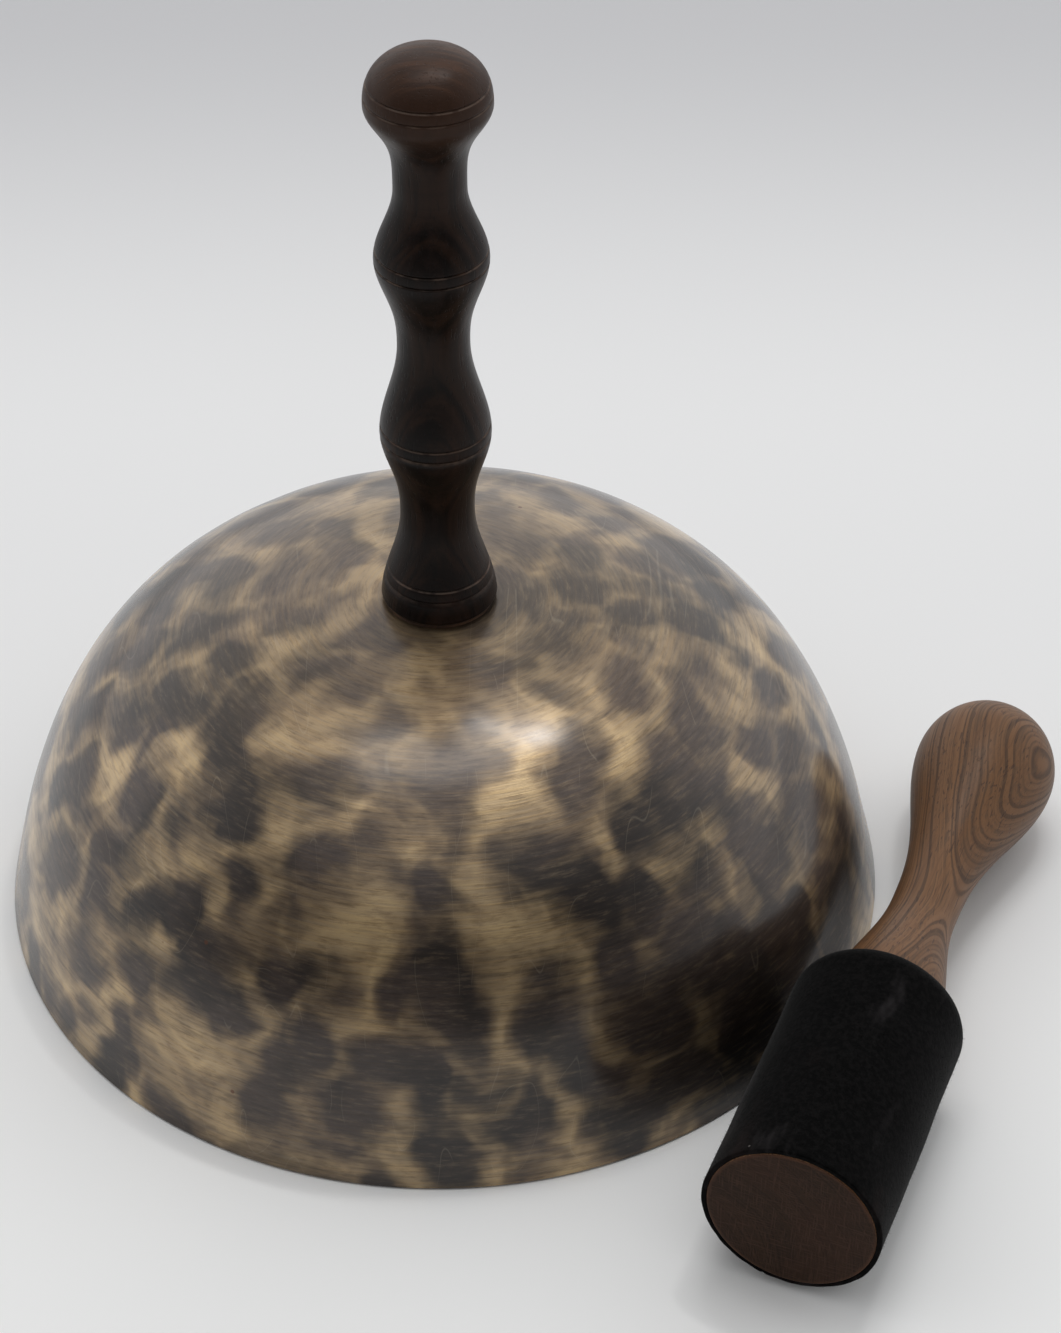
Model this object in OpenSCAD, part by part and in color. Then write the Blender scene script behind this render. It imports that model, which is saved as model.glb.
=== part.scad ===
// Hand bell made from a hammered bronze bowl that stands mouth down, with a turned
// wooden handle bolted through its crown, and the suede-covered mallet that strikes it.
// The origin is the centre of the bell's mouth, on the surface it stands on. +Z runs up
// the handle.

/* [Bell bowl] */
// Outside diameter of the mouth
mouth_d = 250; // [200:1:310]
// Height of the bowl, from the rim to the flat seat on its crown
bowl_h = 100; // [80:1:125]
// Thickness of the hammered wall
wall = 2.6; // [2:0.1:3.4]
// Thickness of the wall at the rim
rim_wall = 3.6; // [3:0.1:4.5]
// Lean of the wall at the rim, in degrees from upright
wall_lean = 11; // [6:1:16]
// Diameter of the flat seat under the handle
seat_d = 34; // [32:1:42]

/* [Handle] */
// Length of the turned handle
handle_len = 165; // [135:1:205]
// Diameter of the knob at its top
knob_d = 32; // [26:0.5:40]
// Diameter of the two bulges of the grip
bulge_d = 29.4; // [24:0.2:36]
// Diameter of the necks between knob, bulges and foot
neck_d = 19; // [16:0.5:23]
// Diameter of the foot that stands on the bowl
foot_d = 31.4; // [26:0.2:38]

/* [Fixing] */
// Diameter of the steel stud
stud_d = 8; // [6:1:10]
// Depth of the stud in the handle
stud_depth = 42; // [30:1:55]
// Width of the hexagon nut across its flats
nut_af = 13; // [12:0.5:17]
// Diameter of the steel washer
washer_d = 24; // [20:1:30]

/* [Mallet] */
// Overall length
mallet_len = 208; // [170:1:255]
// Diameter of the head over its suede sleeve
head_d = 47.6; // [39:0.2:58]
// Length of the sleeve, with its rounded shoulder
sleeve_len = 82; // [68:1:100]
// Thickness of the suede
suede = 1.6; // [1:0.1:2.4]
// Diameter of the mallet's neck
mallet_neck_d = 18.8; // [16:0.2:23]
// Diameter of the bulb at the end of its grip
bulb_d = 40.6; // [33:0.2:47]
// Compass bearing of the sleeve's shoulder, seen from above the bell
mallet_bearing = -37; // [-60:0.1:-20]
// Direction in which the grip points
mallet_heading = 68.7; // [55:0.1:80]

/* [Hidden] */
$fn = 96;
bronze = [0.62, 0.53, 0.38];
dark_wood = [0.20, 0.13, 0.10];
red_wood = [0.50, 0.34, 0.25];
hide = [0.30, 0.22, 0.16];
black_suede = [0.07, 0.07, 0.07];
steel = [0.66, 0.67, 0.69];

// Bowl: its outside is one cubic curve from the rim to the seat.
mouth_r = mouth_d/2;
seat_r = seat_d/2;
rim_bevel = 0.5;
wall_reach = 0.54*bowl_h;   // length of the curve's handle at the rim
crown_reach = 0.31*mouth_d; // length of its handle at the crown
curve_steps = 36;
rim_blend = 0.35;           // share of the curve over which the rim's extra thickness fades
hole_play = 0.5;            // clearance of the stud in the crown's hole
hole_r = stud_d/2 + hole_play;

// Handle: heights of its necks and bulges, as shares of its length.
pad_h = 1;
pad_inset = 1;                   // the pad's edge lies this far inside the foot's
foot_round = 1.4;
handle_z = bowl_h + pad_h;
neck_at = [0.174, 0.499, 0.778];
bulge_at = [0.328, 0.651, 0.917];
foot_groove_at = 0.043;
neck_more = [0.45, -0.1, -0.25]; // what each neck's radius adds to neck_d/2
groove_rise = [-0.5, -0.5, 2.5]; // from a fullest place up to its lower groove
groove_half_w = 0.45;
groove_deep = 0.45;
groove_gap = 3.2;
bore_play = 0.05;                // clearance of the stud in the handle and the nut

// Fixing: the stack under the crown, from the ceiling down.
ceiling_z = bowl_h - wall;
inner_pad_h = 1.5;
washer_h = 1.6;
lock_h = 2;
lock_wide = 3.4;            // width of the spring washer's ring beyond the stud
lock_d = stud_d + 2*lock_wide;
lock_slit = 0.9;
washer_play = 0.4;
lock_play = 0.2;
nut_h = 0.81*stud_d;        // a plain nut's height
nut_face_step = 0.2;        // the nut's faces end this far inside its flats
nut_bevel = 0.75;           // height of its corners' bevel, as a share of their width
stud_tail = 4;
washer_z = ceiling_z - inner_pad_h - washer_h;
lock_z = washer_z - lock_h;
nut_z = lock_z - nut_h;
stud_low = nut_z - stud_tail;
stud_high = handle_z + stud_depth;

// Mallet, along its own axis: the striking face is at 0.
head_r = head_d/2;
core_r = head_r - suede;
core_edge = 0.4;            // bevel round the striking face
sleeve_edge = 0.3;          // rounding of the sleeve's cut edge
shoulder_r = 6;             // rounding of the wooden head under the sleeve
flare_step = 0.4;           // the bare wood starts this far inside the sleeve's end
straight = sleeve_len - shoulder_r - suede;
flare_r = core_r - shoulder_r;
mallet_neck_at = 0.584;     // places along the mallet, as shares of its length
mallet_bulb_at = 0.895;
neck_s = mallet_neck_at*mallet_len;
bulb_s = mallet_bulb_at*mallet_len;
bulb_r = bulb_d/2;
// It lies on the sleeve's shoulder and on the bulb, so its axis dips towards the bulb.
dip = asin((head_r - bulb_r)/(bulb_s - straight));
// The sleeve's shoulder leans in over the rim, beside the wall that leans away from it.
rim_overhang = 2.74;
shoulder_out = mouth_r + head_r - rim_overhang;

// Powers of the flanks: the higher, the longer a neck stays slim.
short_neck = 1.1;
even_neck = 1.35;
long_neck = 2;
knob_power = 2.4;           // the knob's top is a little flatter than an ellipse

// Smooth step from 0 to 1.
function ease(u) = u*u*(3 - 2*u);

// Radius between a neck and a fuller place; a power above 1 keeps the neck long.
function flank(z, neck_z, neck_r, full_z, full_r, power) =
    neck_r + (full_r - neck_r)*ease(pow(abs((z - neck_z)/(full_z - neck_z)), power));

// Radius of a rounded end that closes at end_z; a power above 2 flattens its top.
function dome(z, full_z, full_r, end_z, power = 2) =
    full_r*pow(max(0, 1 - pow((z - full_z)/(end_z - full_z), power)), 1/power);

function cubic(p, t) =
    pow(1 - t, 3)*p[0] + 3*pow(1 - t, 2)*t*p[1] + 3*(1 - t)*t*t*p[2] + pow(t, 3)*p[3];
function cubic_slope(p, t) =
    3*pow(1 - t, 2)*(p[1] - p[0]) + 6*(1 - t)*t*(p[2] - p[1]) + 3*t*t*(p[3] - p[2]);

bowl_curve = [
    [mouth_r, rim_bevel],
    [mouth_r - wall_reach*sin(wall_lean), rim_bevel + wall_reach*cos(wall_lean)],
    [seat_r + crown_reach, bowl_h],
    [seat_r, bowl_h]
];
function wall_at(t) = wall + (rim_wall - wall)*pow(max(0, 1 - t/rim_blend), 2);
function inside(t) =
    let (d = cubic_slope(bowl_curve, t), n = [-d[1], d[0]]/norm(d))
    cubic(bowl_curve, t) + wall_at(t)*n;

function handle_r(z) =
    let (necks = handle_len*neck_at, bulges = handle_len*bulge_at,
         thin = [for (more = neck_more) neck_d/2 + more])
    z < necks[0] ? flank(z, necks[0], thin[0], 0, foot_d/2, short_neck) :
    z < bulges[0] ? flank(z, necks[0], thin[0], bulges[0], bulge_d/2, even_neck) :
    z < necks[1] ? flank(z, necks[1], thin[1], bulges[0], bulge_d/2, short_neck) :
    z < bulges[1] ? flank(z, necks[1], thin[1], bulges[1], bulge_d/2, even_neck) :
    z < necks[2] ? flank(z, necks[2], thin[2], bulges[1], bulge_d/2, short_neck) :
    z < bulges[2] ? flank(z, necks[2], thin[2], bulges[2], knob_d/2, long_neck) :
    dome(z, bulges[2], knob_d/2, handle_len, knob_power);

// Heights of the paired grooves: on the foot, on both bulges and on the knob.
groove_z = [
    for (z = [foot_groove_at*handle_len, for (i = [0:2]) handle_len*bulge_at[i] + groove_rise[i]])
        each [z, z + groove_gap]
];

function mallet_r(s) =
    s < neck_s ? flank(s, neck_s, mallet_neck_d/2, straight + shoulder_r,
                       flare_r - flare_step, short_neck) :
    s < bulb_s ? flank(s, neck_s, mallet_neck_d/2, bulb_s, bulb_r, even_neck) :
    dome(s, bulb_s, bulb_r, mallet_len);

// Places along a curve from a to b, closer together towards b.
function run(a, b, steps) = [for (i = [0:steps]) a + (b - a)*sin(90*i/steps)];

module at_mallet() {
    translate([shoulder_out*cos(mallet_bearing), shoulder_out*sin(mallet_bearing), head_r])
        rotate([0, 0, mallet_heading])
            rotate([0, 90 + dip, 0])
                translate([0, 0, -straight])
                    children();
}

// A turned solid: its outline is a list of [radius, height].
module turned(outline) rotate_extrude() polygon(outline);

module disc_ring(outer_r, inner_r, z, h) {
    translate([0, 0, z])
        difference() {
            cylinder(r = outer_r, h = h);
            translate([0, 0, -1]) cylinder(r = inner_r, h = h + 2);
        }
}

// The hammered bronze bowl, with a ground rim and a hole in its crown.
module bowl() {
    color(bronze)
        difference() {
            turned([
                [mouth_r - rim_wall/cos(wall_lean), 0],
                [mouth_r - rim_bevel, 0],
                for (i = [0:curve_steps]) cubic(bowl_curve, i/curve_steps),
                [0, bowl_h],
                [0, ceiling_z],
                for (i = [curve_steps:-1:1]) inside(i/curve_steps)
            ]);
            translate([0, 0, ceiling_z - 1]) cylinder(r = hole_r, h = wall + 2);
        }
}

// The turned handle: a foot, two bulges and a knob, with paired grooves round each.
module handle() {
    steps = 84;
    top = 14;
    full = handle_len*bulge_at[2];
    color(dark_wood)
        translate([0, 0, handle_z])
            difference() {
                turned([
                    [0, 0],
                    for (a = [0:15:75])
                        [handle_r(0) - foot_round*(1 - sin(a)), foot_round*(1 - cos(a))],
                    for (i = [1:steps]) [handle_r(full*i/steps), full*i/steps],
                    for (z = run(full, handle_len, top)) if (z > full) [handle_r(z), z]
                ]);
                for (z = groove_z)
                    translate([0, 0, z])
                        turned([
                            [handle_r(z) - groove_deep, 0],
                            [handle_r(z) + groove_deep, -2*groove_half_w],
                            [handle_r(z) + groove_deep, 2*groove_half_w]
                        ]);
                translate([0, 0, -1]) cylinder(r = stud_d/2 + bore_play, h = stud_depth + 1);
            }
}

// The hide pad that beds the handle's foot on the bowl.
module foot_pad() {
    color(hide) disc_ring(foot_d/2 - pad_inset, hole_r, bowl_h, pad_h);
}

// The hide pad between the bowl's ceiling and the steel washer.
module inner_pad() {
    color(hide) disc_ring(washer_d/2, hole_r, ceiling_z - inner_pad_h, inner_pad_h);
}

module steel_washer() {
    color(steel) disc_ring(washer_d/2, stud_d/2 + washer_play, washer_z, washer_h);
}

// The split spring washer.
module lock_washer() {
    color(steel)
        difference() {
            disc_ring(lock_d/2, stud_d/2 + lock_play, lock_z, lock_h);
            translate([0, -lock_slit/2, lock_z - 1]) cube([lock_d, lock_slit, lock_h + 2]);
        }
}

// The nut, with its corners chamfered on both faces.
module hex_nut() {
    corner_r = nut_af/2/cos(30);
    chamfer = nut_bevel*(corner_r - nut_af/2);
    color(steel)
        translate([0, 0, nut_z])
            difference() {
                intersection() {
                    cylinder(r = corner_r, h = nut_h, $fn = 6);
                    turned([
                        [0, 0],
                        [nut_af/2 - nut_face_step, 0],
                        [corner_r, chamfer],
                        [corner_r, nut_h - chamfer],
                        [nut_af/2 - nut_face_step, nut_h],
                        [0, nut_h]
                    ]);
                }
                translate([0, 0, -1]) cylinder(r = stud_d/2 + bore_play, h = nut_h + 2);
            }
}

// The stud that joins handle and bowl.
module stud() {
    end_bevel = 0.8;
    color(steel)
        turned([
            [0, stud_low],
            [stud_d/2 - end_bevel, stud_low],
            [stud_d/2, stud_low + end_bevel],
            [stud_d/2, stud_high - end_bevel],
            [stud_d/2 - end_bevel, stud_high],
            [0, stud_high]
        ]);
}

// The mallet's wood, turned in one piece: head, neck and bulb.
module mallet_core() {
    corner_steps = 9;
    flare_steps = 12;
    grip_steps = 22;
    end_steps = 14;
    corner = straight + shoulder_r;
    color(red_wood)
        at_mallet()
            turned([
                [0, 0],
                [core_r - core_edge, 0],
                [core_r, core_edge],
                for (i = [0:corner_steps])
                    [flare_r + shoulder_r*cos(90*i/corner_steps),
                     straight + shoulder_r*sin(90*i/corner_steps)],
                for (i = [0:flare_steps])
                    let (s = corner + (neck_s - corner)*i/flare_steps) [mallet_r(s), s],
                for (i = [1:grip_steps])
                    let (s = neck_s + (bulb_s - neck_s)*i/grip_steps) [mallet_r(s), s],
                for (s = run(bulb_s, mallet_len, end_steps)) if (s > bulb_s) [mallet_r(s), s]
            ]);
}

// The suede sleeve, drawn over the rounded shoulder of the head.
module mallet_sleeve() {
    corner_steps = 9;
    color(black_suede)
        at_mallet()
            turned([
                [core_r, core_edge],
                [core_r + sleeve_edge, 0],
                [head_r - sleeve_edge, 0],
                [head_r, sleeve_edge],
                for (i = [0:corner_steps])
                    [flare_r + (shoulder_r + suede)*cos(90*i/corner_steps),
                     straight + (shoulder_r + suede)*sin(90*i/corner_steps)],
                for (i = [corner_steps:-1:0])
                    [flare_r + shoulder_r*cos(90*i/corner_steps),
                     straight + shoulder_r*sin(90*i/corner_steps)]
            ]);
}

bowl();
handle();
foot_pad();
inner_pad();
steel_washer();
lock_washer();
hex_nut();
stud();
mallet_core();
mallet_sleeve();
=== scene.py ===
# %% [markdown]
# # A bell made from a hammered bowl, and its mallet
# The bell is a bronze bowl turned mouth down, with a turned wooden handle bolted through
# its crown. Its mallet lies beside it: one turned piece of rosewood with a suede sleeve.
# The frame already holds every solid at its real place and size. This lesson gives each
# piece its fine shape and its finish. Lengths are in metres and +Z is up.

# %% Load the frame
import math

import bpy
from mathutils import Euler, Matrix, Vector, noise


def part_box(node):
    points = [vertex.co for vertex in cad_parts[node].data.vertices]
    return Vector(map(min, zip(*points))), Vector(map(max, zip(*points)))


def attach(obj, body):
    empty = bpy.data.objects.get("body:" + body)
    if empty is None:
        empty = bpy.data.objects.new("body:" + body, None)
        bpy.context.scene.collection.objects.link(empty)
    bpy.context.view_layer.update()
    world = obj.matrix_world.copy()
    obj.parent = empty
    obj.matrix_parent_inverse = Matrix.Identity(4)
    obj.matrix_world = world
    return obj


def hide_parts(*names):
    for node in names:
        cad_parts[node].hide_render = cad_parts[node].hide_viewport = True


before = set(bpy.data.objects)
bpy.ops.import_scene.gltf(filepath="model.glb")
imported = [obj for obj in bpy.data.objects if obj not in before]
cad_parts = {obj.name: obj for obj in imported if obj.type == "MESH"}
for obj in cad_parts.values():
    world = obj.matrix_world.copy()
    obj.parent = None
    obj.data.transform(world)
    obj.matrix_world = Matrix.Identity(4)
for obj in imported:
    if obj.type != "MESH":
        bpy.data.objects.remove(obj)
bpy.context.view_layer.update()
MM = 0.001


def placed(name, data):
    """A new object in the scene that holds a mesh, a light or a camera."""
    item = bpy.data.objects.new(name, data)
    bpy.context.scene.collection.objects.link(item)
    return item


# %% [markdown]
# ## Sizes
# A few sizes drive the rest. The outer ones are read from the frame's boxes, so the pieces
# made here always fit the solids they stand for. What a box can't tell, such as the
# thickness of a wall, is given in millimetres.

# %% Read the driving sizes
_, bowl_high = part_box("bowl")
handle_low, handle_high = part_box("handle")
stud_low, stud_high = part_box("stud")
MOUTH_R = bowl_high[0]
BOWL_H = bowl_high[2]
HANDLE_Z = handle_low[2]
HANDLE_LEN = handle_high[2] - handle_low[2]
KNOB_R = (handle_high[0] - handle_low[0])/2
print("mouth", round(2000*MOUTH_R), "mm, handle", round(1000*HANDLE_LEN), "mm")

# %% [markdown]
# ## Camera
# The camera looks down at about forty degrees from a little under a metre away, with a
# long lens, so the dome and the handle are seen together with mild perspective.
# Its place is given in mouth radii, so it keeps its view if the bell grows.

# %% Place the camera
CAMERA_PLACE = Vector((0.198, -5.418, 5.178))*MOUTH_R
LOOK_DOWN = 40.24
LENS = 86.4

camera = placed("Camera", bpy.data.cameras.new("Camera"))
camera.data.sensor_width = 36
camera.data.lens = LENS
camera.data.clip_start = 0.05
camera.location = CAMERA_PLACE
camera.rotation_euler = (math.radians(90 - LOOK_DOWN), 0, 0)
bpy.context.scene.camera = camera
print("camera at", tuple(round(x, 3) for x in camera.location))

# %% [markdown]
# ## Helpers for finishes
# A finish is a small tree of shader nodes. A few helpers keep each tree short to read:
# they add a node with its inputs, turn a value into a soft step, mix two colours, read a
# noise, and stretch or warp the place that a pattern is read at. Colours are given as
# they look on a screen and turned into linear light.

# %% Colour and node helpers
def linear(red, green, blue):
    """A screen colour, 0 to 255, as linear RGBA."""
    def lift(c):
        c = c/255
        return c/12.92 if c <= 0.04045 else ((c + 0.055)/1.055)**2.4
    return (lift(red), lift(green), lift(blue), 1)


def fill(tree, node, inputs):
    """Joins each named input of a node to a socket, or gives it a plain value."""
    for key, value in inputs.items():
        socket = node.inputs[key]
        if isinstance(value, bpy.types.NodeSocket):
            tree.links.new(value, socket)
        else:
            socket.default_value = value
    return node


def add(tree, kind, inputs=None, **settings):
    """A new node: settings are its own options, inputs go to fill."""
    node = tree.nodes.new(kind)
    for name, value in settings.items():
        setattr(node, name, value)
    return fill(tree, node, inputs or {})


def maths(tree, operation, a, b=0.5, c=0.5, clamp=False):
    node = add(tree, "ShaderNodeMath", {0: a, 1: b, 2: c}, operation=operation,
               use_clamp=clamp)
    return node.outputs[0]


def soft_step(tree, value, start, end, low=0.0, high=1.0):
    """low where value is under start, high over end, and a smooth ramp between."""
    node = add(tree, "ShaderNodeMapRange",
               {"Value": value, "From Min": start, "From Max": end,
                "To Min": low, "To Max": high}, interpolation_type="SMOOTHSTEP")
    return node.outputs["Result"]


def mix(tree, share, a, b, blend="MIX"):
    node = add(tree, "ShaderNodeMix", {0: share, 6: a, 7: b}, data_type="RGBA",
               blend_type=blend)
    return node.outputs[2]


def cloud(tree, place, scale, detail=3.0, rough=0.5, distort=0.0):
    """A noise texture's value."""
    node = add(tree, "ShaderNodeTexNoise",
               {"Vector": place, "Scale": scale, "Detail": detail, "Roughness": rough,
                "Distortion": distort})
    return node.outputs["Fac"]


def stretched(tree, place, scale, shift=(0, 0, 0), turn=(0, 0, 0)):
    """The same place, scaled along each axis and moved, to draw a pattern out."""
    node = add(tree, "ShaderNodeMapping",
               {"Vector": place, "Scale": scale, "Location": shift, "Rotation": turn})
    return node.outputs["Vector"]


def warped(tree, place, rates, reach):
    """The same place, pushed about by a cloud with its own rate along each axis."""
    drift = add(tree, "ShaderNodeTexNoise",
                {"Vector": stretched(tree, place, rates), "Scale": 1.0, "Detail": 2.0})
    drift = add(tree, "ShaderNodeVectorMath",
                {0: drift.outputs["Color"], 1: (0.5, 0.5, 0.5)}, operation="SUBTRACT")
    drift = add(tree, "ShaderNodeVectorMath", {0: drift.outputs[0], "Scale": reach},
                operation="SCALE")
    return add(tree, "ShaderNodeVectorMath", {0: place, 1: drift.outputs[0]},
               operation="ADD").outputs[0]


def axes(tree, place):
    """The X, Y and Z of a place, by name."""
    return add(tree, "ShaderNodeSeparateXYZ", {"Vector": place}).outputs


def off_axis(tree, place):
    """Distance of a place from its own Z axis."""
    parts = axes(tree, place)
    squares = maths(tree, "ADD", maths(tree, "MULTIPLY", parts["X"], parts["X"]),
                    maths(tree, "MULTIPLY", parts["Y"], parts["Y"]))
    return maths(tree, "POWER", squares, 0.5)


def new_finish(name):
    """A material with its tree and its surface shader."""
    finish = bpy.data.materials.new(name)
    finish.use_nodes = True
    tree = finish.node_tree
    shader = tree.nodes["Principled BSDF"]
    return finish, tree, shader


def object_place(tree):
    return add(tree, "ShaderNodeTexCoord").outputs["Object"]


def bumped(tree, shader, height, distance, strength=1.0, under=None):
    """Adds relief of a height in metres, on top of another relief if one is given."""
    inputs = {"Height": height, "Distance": distance, "Strength": strength}
    if under is not None:
        inputs["Normal"] = under
    node = add(tree, "ShaderNodeBump", inputs)
    tree.links.new(node.outputs["Normal"], shader.inputs["Normal"])
    return node.outputs["Normal"]


print("half grey is", round(linear(128, 128, 128)[0], 3), "in linear light")

# %% [markdown]
# ## Turning a piece on the lathe
# Bowl, handle and mallet are all round, so each could be made with the Screw or Spin tool.
# A short function does the same and gives more: it lays a UV map in which U runs once
# round the piece and V is the distance along the outline in metres. Brushed lines and
# polish marks follow the lathe, so their patterns can follow that map.
#
# An outline is a list of [radius, height] points. Taken up the outside, it gives faces
# that point outwards. A closed outline, such as a wall with two faces, is a ring.

# %% A lathe that also lays the UV map
def turned(name, outline, segments, place=None, ring=False, seam_turn=0.0):
    """Revolves an outline into a mesh with its round_and_along map."""
    place = place or Matrix.Identity(4)
    verts, faces, rows, lengths = [], [], [], [0.0]
    for (r0, z0), (r1, z1) in zip(outline, outline[1:] + outline[:1]):
        lengths.append(lengths[-1] + math.hypot(r1 - r0, z1 - z0))
    for radius, height in outline:
        if radius < 1e-9:
            rows.append([len(verts)]*segments)
            verts.append(place @ Vector((0, 0, height)))
            continue
        rows.append([len(verts) + i for i in range(segments)])
        for i in range(segments):
            angle = 2*math.pi*i/segments + seam_turn
            point = Vector((radius*math.cos(angle), radius*math.sin(angle), height))
            verts.append(place @ point)
    uvs = []
    pairs = list(zip(range(len(rows)), range(1, len(rows))))
    if ring:
        pairs.append((len(rows) - 1, 0))
    for low, high in pairs:
        v0, v1 = lengths[low], lengths[low + 1]
        for i in range(segments):
            j = (i + 1) % segments
            u0, u1 = i/segments, (i + 1)/segments
            face, uv = [], []
            for vertex, at in ((rows[low][i], (u0, v0)), (rows[low][j], (u1, v0)),
                               (rows[high][j], (u1, v1)), (rows[high][i], (u0, v1))):
                if vertex not in face:
                    face.append(vertex)
                    uv.append(at)
            if len(face) > 2:
                faces.append(face)
                uvs.extend(uv)
    mesh = bpy.data.meshes.new(name)
    mesh.from_pydata(verts, [], faces)
    layer = mesh.uv_layers.new(name="round_and_along")
    layer.data.foreach_set("uv", [c for uv in uvs for c in uv])
    mesh.shade_smooth()
    return placed(name, mesh)


def arc(centre, radius, start, end, steps):
    """Points on an arc in the outline's plane, angles in degrees."""
    points = []
    for i in range(steps + 1):
        a = math.radians(start + (end - start)*i/steps)
        points.append((centre[0] + radius*math.cos(a), centre[1] + radius*math.sin(a)))
    return points


def round_and_along(tree):
    """The UV map as two values: a share of the turn, and metres along the outline."""
    uv = add(tree, "ShaderNodeUVMap", uv_map="round_and_along").outputs["UV"]
    parts = axes(tree, uv)
    return parts["X"], parts["Y"]


def lathe_place(tree, across, along):
    """A place for marks that run round a piece. across is how fast the pattern changes
    round it, along how fast it changes from one line to the next, both per metre."""
    _, v = round_and_along(tree)
    parts = axes(tree, object_place(tree))
    x = maths(tree, "MULTIPLY", parts["X"], across)
    y = maths(tree, "MULTIPLY", parts["Y"], across)
    z = maths(tree, "MULTIPLY", v, along)
    return add(tree, "ShaderNodeCombineXYZ", {"X": x, "Y": y, "Z": z}).outputs["Vector"]


def scratches(tree, place, turn, rate, thin, share):
    """Thin broken lines: where a drawn-out cloud crosses its middle value, kept only
    where a second cloud is high."""
    drawn = stretched(tree, place, (rate, rate*0.07, rate*0.3), turn=turn)
    level = maths(tree, "ABSOLUTE", maths(tree, "SUBTRACT", cloud(tree, drawn, 1.0, 0.0), 0.5))
    line = soft_step(tree, level, 0.0, thin, 1.0, 0.0)
    kept = soft_step(tree, cloud(tree, stretched(tree, place, (50, 50, 50), turn), 1.0, 1.0),
                     share, share + 0.06)
    return maths(tree, "MULTIPLY", line, kept)


print("a quarter arc in two steps:", [(round(x, 2), round(y, 2))
                                      for x, y in arc((0, 0), 1, 0, 90, 2)])

# %% [markdown]
# ## The bowl's shape
# The real bowl is beaten out of a bronze disc. Its outside is one smooth curve from the
# rim up to a small flat seat under the handle, so a single cubic curve draws it. The
# inside is the same curve moved in by the wall's thickness. The rim is thicker and is
# ground flat, with a fine bevel outside.

# %% Outline of the bowl
WALL = 2.6*MM
RIM_WALL = 3.6*MM
RIM_BEVEL = 0.5*MM
WALL_LEAN = math.radians(11)
SEAT_R = 17*MM
HOLE_R = 4.5*MM
CURVE_STEPS = 110


def cubic(points, t):
    s = 1 - t
    weights = (s**3, 3*s*s*t, 3*s*t*t, t**3)
    return Vector((sum(w*p[0] for w, p in zip(weights, points)),
                   sum(w*p[1] for w, p in zip(weights, points))))


reach_up = 0.54*BOWL_H
bowl_curve = [
    (MOUTH_R, RIM_BEVEL),
    (MOUTH_R - reach_up*math.sin(WALL_LEAN), RIM_BEVEL + reach_up*math.cos(WALL_LEAN)),
    (SEAT_R + 0.62*MOUTH_R, BOWL_H),
    (SEAT_R, BOWL_H),
]


def inside(t):
    """The point of the inner face across the wall from t on the outer curve."""
    step = 1e-4
    slope = cubic(bowl_curve, min(1, t + step)) - cubic(bowl_curve, max(0, t - step))
    inward = Vector((-slope[1], slope[0])).normalized()
    thick = WALL + (RIM_WALL - WALL)*max(0, 1 - t/0.35)**2
    return cubic(bowl_curve, t) + thick*inward


outer_line = [tuple(cubic(bowl_curve, i/CURVE_STEPS)) for i in range(CURVE_STEPS + 1)]
seat_line = [(SEAT_R*(1 - i/6) + HOLE_R*i/6, BOWL_H) for i in range(1, 7)]
ceiling = BOWL_H - WALL
ceiling_line = [(HOLE_R + (SEAT_R - HOLE_R)*i/6, ceiling) for i in range(6)]
inner_line = [tuple(inside(i/CURVE_STEPS)) for i in range(CURVE_STEPS, 0, -1)]
rim_line = [(MOUTH_R - RIM_WALL/math.cos(WALL_LEAN), 0), (MOUTH_R - RIM_BEVEL, 0)]
bowl_outline = rim_line + outer_line + seat_line + ceiling_line + inner_line
bowl = turned("bowl_hammered", bowl_outline, 288, ring=True, seam_turn=math.pi/2)
print("bowl outline", len(bowl_outline), "points,", len(bowl.data.polygons), "faces")

# %% [markdown]
# ## Hammer marks
# Thousands of blows leave shallow, overlapping dents, smoothed later by scraping. A
# sculpted mesh would hold them, but a rule is better: each dent is a cell of a Voronoi
# pattern, and both faces of the wall only ever move inwards, so the bowl keeps its outer
# size and its thickness. It is a Geometry Nodes tree with named inputs. The rim and the
# seat stay flat.

# %% Helpers for Geometry Nodes
def new_tree(name, inputs):
    """An empty tree that takes a geometry and the named inputs: (name, kind, value)."""
    tree = bpy.data.node_groups.new(name, "GeometryNodeTree")
    tree.interface.new_socket("Geometry", in_out="INPUT", socket_type="NodeSocketGeometry")
    for label, kind, value in inputs:
        socket = tree.interface.new_socket(label, in_out="INPUT", socket_type=kind)
        socket.default_value = value
    tree.interface.new_socket("Geometry", in_out="OUTPUT", socket_type="NodeSocketGeometry")
    start = tree.nodes.new("NodeGroupInput")
    end = tree.nodes.new("NodeGroupOutput")
    return tree, start.outputs, end.inputs


def grow(piece, tree, **values):
    """Runs a tree on a piece with the given inputs and keeps the plain result."""
    modifier = piece.modifiers.new("grow", "NODES")
    modifier.node_group = tree
    for item in tree.interface.items_tree:
        key = item.name.lower().replace(" ", "_")
        if item.in_out == "INPUT" and key in values:
            modifier[item.identifier] = values[key]
    bpy.context.view_layer.update()
    graph = bpy.context.evaluated_depsgraph_get()
    mesh = bpy.data.meshes.new_from_object(piece.evaluated_get(graph))
    piece.modifiers.clear()
    piece.data = mesh
    return piece


# %% The tree of hammer marks
DENT_SPACING = 15*MM
DENT_DEPTH = 0.16*MM
SWELL_DEPTH = 0.5*MM
FLAT_RIM = 14*MM
print("dents", round(DENT_SPACING/MM), "mm apart and up to", DENT_DEPTH/MM, "mm deep")


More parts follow.
